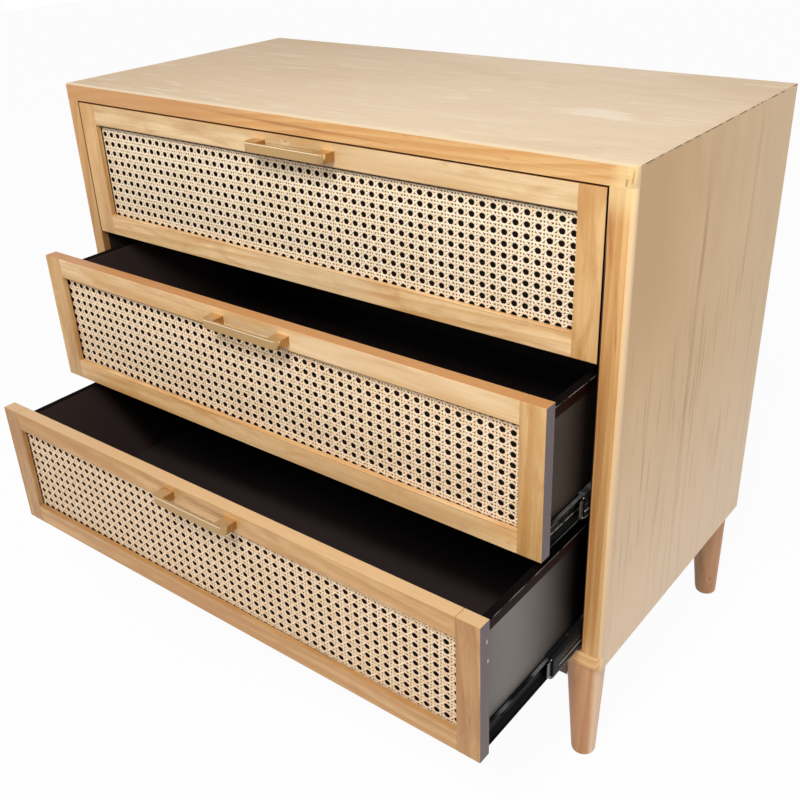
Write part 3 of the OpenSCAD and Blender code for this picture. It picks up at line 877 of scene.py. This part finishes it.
def rounded_wave(turns):
    """A wave that stays long at its top and bottom, as a flat strand does over a crossing."""
    return np.tanh(SLANT_FLATNESS * np.cos(2 * np.pi * turns)) / math.tanh(SLANT_FLATNESS)


def crossing_bumps(offset, spacing, under_first):
    """Lift of a paired strand that goes under one strand of each crossing pair and over the other."""
    near = (offset + spacing / 2) % spacing - spacing / 2
    first = np.exp(-(((near + PAIR_OFFSET) / BUMP_REACH) ** 2))
    second = np.exp(-(((near - PAIR_OFFSET) / BUMP_REACH) ** 2))
    return (second - first if under_first else first - second) * PAIR_LIFT


def strand_points(line, lift, sideways, width):
    """Rings of five points along a strand: a flat back and a crowned face to the front."""
    half, back = width / 2, STRAND_THICKNESS / 2
    flank = -back + STRAND_EDGE
    section = ((-half, flank), (-half, -back), (half, -back), (half, flank), (0.0, back))
    rings = np.zeros((len(line), SECTION_CORNERS, 3))
    for corner, (across, out) in enumerate(section):
        rings[:, corner, 0] = line[:, 0] + sideways[0] * across
        rings[:, corner, 2] = line[:, 1] + sideways[1] * across
        rings[:, corner, 1] = -(lift + out)
    return rings


def strand_faces(ring_count, first):
    """Faces round a strand of five-point rings, closed at both ends."""
    faces = []
    for ring in range(first, first + (ring_count - 1) * SECTION_CORNERS, SECTION_CORNERS):
        for corner in range(SECTION_CORNERS):
            here, there = ring + corner, ring + (corner + 1) % SECTION_CORNERS
            faces.append((here, here + SECTION_CORNERS, there + SECTION_CORNERS, there))
    last = first + (ring_count - 1) * SECTION_CORNERS
    faces.append(tuple(range(first, first + SECTION_CORNERS)))
    faces.append(tuple(reversed(range(last, last + SECTION_CORNERS))))
    return faces


def steps_between(low, high, spacing):
    return np.linspace(low, high, max(2, round((high - low) / spacing * RINGS_PER_PITCH) + 1))


def crossings(low, high, node, pitch):
    """Places of the crossings from one side of the sheet to the other."""
    numbers = range(math.floor((low - node) / pitch), math.ceil((high - node) / pitch) + 1)
    return [node + number * pitch for number in numbers]


def weave_cane(drawer, material):
    """All the strands of one front, cut off just behind the frame's inner edges."""
    left, right, base, top = window_of(drawer)
    cane_low, cane_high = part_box(drawer + "_cane")
    low = np.array((left - CANE_HIDDEN_EDGE, base - CANE_HIDDEN_EDGE))
    high = np.array((right + CANE_HIDDEN_EDGE, top + CANE_HIDDEN_EDGE))
    wide_low, wide_high = low - CANE_OVERRUN, high + CANE_OVERRUN
    hole = FIRST_HOLE[drawer]
    node_x = left + hole["from_left"] - PITCH_ACROSS / 2
    node_z = top - hole["below_top"] - PITCH_UP / 2
    angle = math.radians(-hole["turn_deg"])
    turn = np.array(((math.cos(angle), math.sin(angle)), (-math.sin(angle), math.cos(angle))))
    pivot = np.array((node_x, node_z))
    shades = random.Random(drawer)
    rings, faces, shade = [], [], []

    def lay(x, z, lift, sideways, width):
        """Turns a strand about the first crossing with the sheet and keeps what lies in the window."""
        line = (np.stack(np.broadcast_arrays(x, z), 1) - pivot) @ turn + pivot
        sideways = np.array(sideways) @ turn
        inside = np.all((line > low + width / 2) & (line < high - width / 2), axis=1)
        count = int(inside.sum())
        if count < 3:
            return
        rings.append(strand_points(line[inside], lift[inside], sideways, width))
        faces.extend(strand_faces(count, len(shade)))
        shade.extend([shades.random()] * (count * SECTION_CORNERS))

    z = steps_between(wide_low[1], wide_high[1], PITCH_UP)
    for x in crossings(wide_low[0], wide_high[0], node_x, PITCH_ACROSS):
        for side in (-1, 1):
            lift = crossing_bumps(z - node_z, PITCH_UP, side > 0)
            lay(x + side * PAIR_OFFSET, z, lift, (1.0, 0.0), STRAND_WIDTH)
    x = steps_between(wide_low[0], wide_high[0], PITCH_ACROSS)
    for z in crossings(wide_low[1], wide_high[1], node_z, PITCH_UP):
        for side in (-1, 1):
            lift = -crossing_bumps(x - node_x, PITCH_ACROSS, side > 0)
            lay(x, z + side * PAIR_OFFSET, lift, (0.0, 1.0), STRAND_WIDTH)
    slope = PITCH_UP / PITCH_ACROSS
    reach = (wide_high[1] - wide_low[1]) / slope
    length = math.hypot(PITCH_ACROSS, PITCH_UP)
    count = math.ceil((wide_high[0] - wide_low[0] + 2 * reach) / PITCH_ACROSS) + 1
    x = steps_between(wide_low[0] - reach, wide_high[0] + reach, PITCH_ACROSS)
    for lean in (-1, 1):
        sideways = (-lean * PITCH_UP / length, PITCH_ACROSS / length)
        lift = lean * SLANT_LIFT * rounded_wave((x - node_x) / PITCH_ACROSS)
        for number in range(-count, count):
            # Each slanting strand passes halfway between two crossings of the pairs.
            start_x = node_x + (number + 0.5) * PITCH_ACROSS
            z = node_z + lean * (x - start_x) * slope
            near = (z > wide_low[1]) & (z < wide_high[1]) & (x > wide_low[0]) & (x < wide_high[0])
            lay(x[near], z[near], lift[near], sideways, SLANT_WIDTH)
    points = np.concatenate([block.reshape(-1, 3) for block in rings])
    points[:, 1] += (cane_low.y + cane_high.y) / 2
    piece = make_mesh_piece(drawer + "_cane_weave", points, faces, material)
    edge = [1.0, 1.0, 1.0, 1.0, 0.0] * (len(shade) // SECTION_CORNERS)
    for mark_name, values in (("strand_shade", shade), ("strand_edge", edge)):
        piece.data.attributes.new(mark_name, "FLOAT", "POINT").data.foreach_set("value", values)
    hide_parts(drawer + "_cane")
    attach(piece, drawer)


backing_stain = plain_stain(
    "stain behind the cane", BACKING_STAIN, 5.0, BACKING_ROUGHNESS, Specular_IOR_Level=BACKING_SHEEN,
)
for drawer in DRAWERS:
    weave_cane(drawer, cane_finish(drawer))
    finish_node(drawer + "_cane_backing", backing_stain)

# The handles are flat cast bars with square feet, finished in satin pale gold. Two cross-head
# screws hold each from inside the drawer.
HANDLE_GOLD = (0.52, 0.33, 0.145)
# Painted reflection: the handles' top faces are lighter, as if they mirror the bright studio above
HANDLE_TOP_REFLECTION = (0.80, 0.61, 0.37)
HANDLE_TOP_REFLECTION_STRENGTH = 0.8
# Painted highlight along the upper front arris of each handle
HANDLE_ARRIS_HIGHLIGHT = (0.95, 0.80, 0.58)
HANDLE_ARRIS_HIGHLIGHT_WIDTH = 0.8 * MM
HANDLE_EASE = 1.0 * MM
HANDLE_ROUGHNESS = 0.32
HANDLE_SCREW = {
    "head_radius": 4.0 * MM, "head_height": 2.4 * MM, "shank_radius": 2.0 * MM, "shank_length": 25.9 * MM,
}
SCREW_SIDES = 24
RECESS_WIDTH = 1.1 * MM
RECESS_DEPTH = 1.2 * MM


def cross_head_screw(name, head_radius, head_height, shank_radius, shank_length):
    """Mesh of a screw along +Z: its shank, a domed pan head on top and the cross cut into that."""
    profile = [
        (shank_radius * 0.6, -shank_length), (shank_radius, -shank_length + shank_radius),
        (shank_radius, 0.0), (head_radius * 0.98, 0.0), (head_radius, head_height * 0.3),
        (head_radius * 0.9, head_height * 0.7), (head_radius * 0.55, head_height * 0.95),
        (head_radius * 0.2, head_height),
    ]
    screw = make_mesh_piece(name + " blank", *lathe_points(profile, SCREW_SIDES), zinc)
    cutters = []
    low, high = head_height - RECESS_DEPTH, head_height * 1.5
    for width, length in ((RECESS_WIDTH, head_radius * 1.1), (head_radius * 1.1, RECESS_WIDTH)):
        around = [(x * width / 2, y * length / 2) for x, y in ((-1, -1), (1, -1), (1, 1), (-1, 1))]
        corners = [(x, y, z) for z in (low, high) for x, y in around]
        sides = [(0, 3, 2, 1), (4, 5, 6, 7), (0, 1, 5, 4), (1, 2, 6, 5), (2, 3, 7, 6), (3, 0, 4, 7)]
        cutter = make_mesh_piece(name + " cutter", corners, sides, zinc, smooth=False)
        cut = screw.modifiers.new("cross", "BOOLEAN")
        cut.object = cutter
        cut.operation = "DIFFERENCE"
        cutters.append(cutter)
    shaped = screw.evaluated_get(bpy.context.evaluated_depsgraph_get())
    mesh = bpy.data.meshes.new_from_object(shaped)
    for spare in [screw, *cutters]:
        bpy.data.objects.remove(spare)
    points = [vertex.co.copy() for vertex in mesh.vertices]
    return points, [tuple(polygon.vertices) for polygon in mesh.polygons]


handle_screw_form = cross_head_screw("handle screw", **HANDLE_SCREW)
into_handle = Matrix.Rotation(math.radians(-90), 4, "X")
for drawer in DRAWERS:
    handle = drawer + "_handle"
    pale_gold = brushed_metal("satin pale gold of " + drawer, HANDLE_GOLD, "X", HANDLE_ROUGHNESS)
    # painted reflection on the handle's top faces
    paint_where(pale_gold, HANDLE_TOP_REFLECTION, facing(pale_gold, "Z", 1), HANDLE_TOP_REFLECTION_STRENGTH)
    # painted highlight along the handle's upper front arris
    upper = rim(pale_gold, handle, "Z", 1, HANDLE_ARRIS_HIGHLIGHT_WIDTH)
    paint_where(pale_gold, HANDLE_ARRIS_HIGHLIGHT, upper, rim(pale_gold, handle, "Y", -1, HANDLE_ARRIS_HIGHLIGHT_WIDTH))
    finish_node(handle, pale_gold, HANDLE_EASE)
    screws_low, screws_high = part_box(drawer + "_handle_screws")
    head_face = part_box(drawer + "_top_rail")[1].y
    middle_z = (screws_low.z + screws_high.z) / 2
    head_inset = (screws_high.z - screws_low.z) / 2
    screw_xs = screws_low.x + head_inset, screws_high.x - head_inset
    placings = [Matrix.Translation((x, head_face, middle_z)) @ into_handle for x in screw_xs]
    screws = copies_in_one(drawer + "_cross_head_screws", handle_screw_form, placings, zinc, smooth=False)
    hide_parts(drawer + "_handle_screws")
    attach(screws, drawer)

# The drawer boxes are thin boards stained near black inside and out, with a low sheen. The sides
# are grooved for the bottom and the back stands between them.
BOX_STAIN = (0.022, 0.015, 0.014)
BOX_SIDE_STAIN = (0.012, 0.008, 0.006)
BOX_INNER_STAIN = (0.048, 0.031, 0.028)
BOX_EDGE_STAIN = (0.006, 0.004, 0.004)
BOX_EDGE_ROUGHER = 0.6
BOX_SIDE_ROUGHNESS = 0.35
BOX_SIDE_SHEEN = 0.02
BOX_EASE = 0.6 * MM
BOX_PARTS = {
    "_left_side": BOX_SIDE_STAIN, "_right_side": BOX_SIDE_STAIN, "_back": BOX_STAIN, "_floor": BOX_STAIN,
}
# Painted shadow inside the lowest drawer, cast by the drawer above
PAINTED_SHADOW = (0.003, 0.002, 0.002)
PAINTED_SHADOW_STRENGTH = 0.93
PAINTED_SHADOW_LEAN = 0.535
PAINTED_SHADOW_FROM = (-0.120, -0.083)
BAND_COLOUR = (0.014, 0.004, 0.003)
BAND_HEIGHT = 12.0 * MM
# How far from the rear and the front end of the side the band begins and is full
BAND_FADE = (0.06, 0.12)
# Painted highlight along the outer top arris of each box side
BOX_ARRIS_HIGHLIGHT = (0.17, 0.155, 0.145)
BOX_ARRIS_HIGHLIGHT_WIDTH = 0.55 * MM
# Colour of the painted sheen that stands in for the side's glossy reflection, and how far behind the front
# it begins to fade and ends
PAINTED_SHEENS = {
    "top_drawer": ((0.075, 0.065, 0.06), 20.0 * MM, 90.0 * MM),
    "middle_drawer": ((0.066, 0.052, 0.044), 20.0 * MM, 84.0 * MM),
    "bottom_drawer": ((0.204, 0.186, 0.173), 40.0 * MM, 188.0 * MM),
}


def dull_top_edge(material):
    """The top edge is painted darker than the side and made rougher, with no sheen."""
    polished = material.node_tree.nodes["Principled BSDF"].inputs["Roughness"].links[0].from_socket
    upward = facing(material, "Z", 1)
    set_surface(material, Roughness=calculate(material, "MULTIPLY_ADD", upward, BOX_EDGE_ROUGHER, polished))
    paint_where(material, BOX_EDGE_STAIN, upward)


def paint_shadow_inside(material):
    """Painted shadow deep inside the drawer, behind a line that leans forward towards the top, as the drawer
    above shades it.
    """
    place = object_place(material)
    leaning = calculate(material, "MULTIPLY_ADD", place["Z"], PAINTED_SHADOW_LEAN, place["Y"])
    paint_where(material, PAINTED_SHADOW, spread(material, leaning, *PAINTED_SHADOW_FROM), PAINTED_SHADOW_STRENGTH)


def paint_sheen_band_and_arris(material, name, outward, painted_sheen_colour, painted_sheen_fades, painted_sheen_ends):
    """A painted sheen where the side stands open, a reddish band below its top edge and a painted highlight
    along the arris.
    """
    low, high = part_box(name)
    depth = object_place(material)["Y"]
    outer = facing(material, "X", outward)
    # painted sheen, fading towards the rear where the case shades it
    painted_sheen = spread(material, depth, low.y + painted_sheen_ends, low.y + painted_sheen_fades)
    paint_where(material, painted_sheen_colour, painted_sheen, outer)
    mottle = spread(material, grain_noise(material, "Y", 4.0, 60.0, outward + 8.0), -0.25, 0.2)
    fading = spread(material, depth, high.y - BAND_FADE[0], low.y + BAND_FADE[1])
    paint_where(material, BAND_COLOUR, mottle, fading, outer, rim(material, name, "Z", 1, BAND_HEIGHT))
    # painted highlight along the outer top arris, broken up
    arris = rim(material, name, "X", outward, BOX_ARRIS_HIGHLIGHT_WIDTH), rim(material, name, "Z", 1, BOX_ARRIS_HIGHLIGHT_WIDTH)
    paint_where(material, BOX_ARRIS_HIGHLIGHT, *arris, spread(material, speckle(material, 45.0, 4.0), 0.38, 0.5))


for drawer_number, drawer in enumerate(DRAWERS):
    for part_number, (part, colour) in enumerate(BOX_PARTS.items()):
        name = drawer + part
        finish_seed = 10.0 + 7 * drawer_number + part_number
        if part.endswith("_side"):
            outward = 1 if "right" in part else -1
            surface = {"roughness": BOX_SIDE_ROUGHNESS, "Specular_IOR_Level": BOX_SIDE_SHEEN}
            stain = plain_stain("stain of " + name, colour, finish_seed, **surface)
            paint_where(stain, BOX_INNER_STAIN, facing(stain, "X", -outward))
        else:
            stain = plain_stain("stain of " + name, colour, finish_seed)
        # painted shadow inside the lowest drawer
        if drawer == "bottom_drawer" and part != "_back":
            paint_shadow_inside(stain)
        if part.endswith("_side"):
            dull_top_edge(stain)
            paint_sheen_band_and_arris(stain, name, outward, *PAINTED_SHEENS[drawer])
        finish_node(name, stain, BOX_EASE)

# Each drawer runs on a pair of black steel slides, three nested channels a side. A steel cage of
# balls shows at the front end of the middle member, and pan-head screws hold the drawer member.
SLIDE_BLACK = (0.005, 0.005, 0.005)
SLIDE_SMEAR = (0.012, 0.012, 0.012)
SLIDE_ROUGHNESS = 0.3
SLIDE_SHEEN = 0.03
SLIDE_EASE = 0.3 * MM
SLIDE_WALL = 1.2 * MM
BALL_STEEL = (0.66, 0.66, 0.66)
CAGE_STEEL = (0.20, 0.20, 0.20)
LIP_HIGHLIGHT_COLOUR = (0.13, 0.13, 0.135)
LIP_HIGHLIGHT_WIDTH = 0.5 * MM
# Ridges pressed along a member's web, along which painted highlights run: distance below its top, half width
# and strength
WEB_RIDGES = ((10.5 * MM, 0.35 * MM, 0.6), (18.5 * MM, 0.9 * MM, 1.0), (26.5 * MM, 0.5 * MM, 0.8))
RIDGE_HIGHLIGHT_COLOUR = (0.30, 0.29, 0.27)
CAGE_REACH = 8.0 * MM
CAGE_LENGTH = 70.0 * MM
CAGE_THICKNESS = 0.6 * MM
CAGE_HALF_HEIGHT = 11.0 * MM
CAGE_CORNER = 5.0 * MM
CAGE_CORNER_STEPS = 6
CAGE_LIP = 1.6 * MM
BALL_RADIUS = 0.95 * MM
BALL_GAP = 0.1 * MM
BALL_SPACING = 4.5 * MM
# How far the row of balls stays from the cage's front and rear end
BALLS_INSET = (8.0 * MM, 3.0 * MM)
SLIDE_SCREW = {
    "head_radius": 3.4 * MM, "head_height": 1.6 * MM, "shank_radius": 1.6 * MM, "shank_length": 9.0 * MM,
}
SLIDE_SCREWS_AT = (35.0 * MM, 160.0 * MM, 320.0 * MM)


def black_steel(name):
    material = new_material(name, SLIDE_ROUGHNESS, Specular_IOR_Level=SLIDE_SHEEN)
    lines = grain_noise(material, "Y", 14.0, 800.0, 4.2)
    shown = mix_colours(material, lines, SLIDE_BLACK, SLIDE_SMEAR)
    gloss = calculate(material, "MULTIPLY_ADD", lines, 0.2, 0.22)
    set_surface(material, Base_Color=shown, Roughness=gloss)
    return material


def ball_points(radius):
    ball = bmesh.new()
    bmesh.ops.create_icosphere(ball, subdivisions=2, radius=radius)
    ball.verts.ensure_lookup_table()
    points = [vertex.co.copy() for vertex in ball.verts]
    faces = [tuple(vertex.index for vertex in face.verts) for face in ball.faces]
    ball.free()
    return points, faces


def cage_plate(length, half_height, thickness):
    """A steel strip in the YZ plane with rounded front corners and a turned-in lip along each edge."""
    outline = [(length, -half_height), (length, half_height)]
    centre = half_height - CAGE_CORNER
    for centre_z, start in ((centre, 90), (-centre, 180)):
        for step in range(CAGE_CORNER_STEPS + 1):
            angle = math.radians(start + 90 * step / CAGE_CORNER_STEPS)
            y, z = CAGE_CORNER + CAGE_CORNER * math.cos(angle), centre_z + CAGE_CORNER * math.sin(angle)
            outline.append((y, z))
    count = len(outline)
    points = [Vector((x, y, z)) for x in (0.0, thickness) for y, z in outline]
    faces = [tuple(reversed(range(count))), tuple(range(count, 2 * count))]
    for corner in range(count):
        following = (corner + 1) % count
        faces.append((corner, following, following + count, corner + count))
    for side in (-1, 1):
        first = len(points)
        outer, inner = side * half_height, side * (half_height - thickness)
        section = ((0.0, outer), (-CAGE_LIP, outer), (-CAGE_LIP, inner), (0.0, inner))
        points += [Vector((x, y, z)) for y in (CAGE_CORNER, length) for x, z in section]
        faces += [(first, first + 1, first + 2, first + 3), (first + 7, first + 6, first + 5, first + 4)]
        for step in range(4):
            following = (step + 1) % 4
            faces.append((first + step, first + 4 + step, first + 4 + following, first + following))
    return points, faces


def highlight_lips(material, name):
    """Painted highlights along the channel's outer edges, broken up along its length."""
    glinting = spread(material, grain_noise(material, "Y", 22.0, 10.0, 9.0), 0.45, 0.6)
    lips = [rim(material, name, "Z", side, LIP_HIGHLIGHT_WIDTH) for side in (1, -1)]
    paint_where(material, LIP_HIGHLIGHT_COLOUR, calculate(material, "MAXIMUM", *lips), glinting)


def ridge_highlights(material, name):
    """Painted highlights also run along the ridges that are pressed into the web."""
    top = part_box(name)[1].z
    broken = spread(material, grain_noise(material, "Y", 140.0, 60.0, 19.0, detail=2.0), 0.35, 0.55)
    for below_top, half_width, strength in WEB_RIDGES:
        ridge = within(material, "Z", top - below_top - half_width, top - below_top + half_width)
        paint_where(material, RIDGE_HIGHLIGHT_COLOUR, ridge, broken, strength)


slide_finish = black_steel("black slide steel")
bright_steel = brushed_metal("bright ball steel", BALL_STEEL, "Y", 0.28)
cage_steel = brushed_metal("dull cage steel", CAGE_STEEL, "Y", 0.4)
ball_form = ball_points(BALL_RADIUS)
plate_form = cage_plate(CAGE_LENGTH, CAGE_HALF_HEIGHT, CAGE_THICKNESS)
slide_screw_form = cross_head_screw("slide screw", **SLIDE_SCREW)
mirrored = Matrix.Scale(-1, 4, (1, 0, 0))
into_box = Matrix.Rotation(math.radians(90), 4, "Y")
for drawer in DRAWERS:
    finish_node(drawer + "_case_slides", slide_finish, SLIDE_EASE)
    for member in ("_middle_slides", "_box_slides"):
        highlighted_finish = black_steel("black steel of " + drawer + member)
        highlight_lips(highlighted_finish, drawer + member)
        # The painted ridge highlights show on each middle member, and in the middle drawer on both members.
        if member == "_middle_slides" or drawer == "middle_drawer":
            ridge_highlights(highlighted_finish, drawer + member)
        finish_node(drawer + member, highlighted_finish, SLIDE_EASE)
    middle_low, middle_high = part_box(drawer + "_middle_slides")
    box_low, box_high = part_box(drawer + "_box_slides")
    middle_z = (middle_low.z + middle_high.z) / 2
    cage_x = (box_high.x + middle_high.x - SLIDE_WALL) / 2
    cage_front = middle_low.y - CAGE_REACH
    placing = Matrix.Translation((cage_x - CAGE_THICKNESS / 2, cage_front, middle_z))
    cage_placings = [placing, mirrored @ placing]
    cages = copies_in_one(drawer + "_ball_cages", plate_form, cage_placings, cage_steel, smooth=False)
    ball_placings = []
    first_ball, last_ball = cage_front + BALLS_INSET[0], cage_front + CAGE_LENGTH - BALLS_INSET[1]
    for y in evenly(first_ball, last_ball, BALL_SPACING):
        for side in (-1, 1):
            height = middle_z + side * (CAGE_HALF_HEIGHT + BALL_RADIUS + BALL_GAP)
            placing = Matrix.Translation((cage_x, y, height))
            ball_placings += [placing, mirrored @ placing]
    balls = copies_in_one(drawer + "_slide_balls", ball_form, ball_placings, bright_steel)
    for piece in (cages, balls):
        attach(piece, drawer.replace("drawer", "slides"))
    screw_placings = []
    web_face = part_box(drawer + "_right_side")[1].x + SLIDE_WALL
    for y in SLIDE_SCREWS_AT:
        placing = Matrix.Translation((web_face, box_low.y + y, middle_z)) @ into_box
        screw_placings += [placing, mirrored @ placing]
    screws_name = drawer + "_slide_screws"
    slide_screws = copies_in_one(screws_name, slide_screw_form, screw_placings, slide_finish, smooth=False)
    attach(slide_screws, drawer)
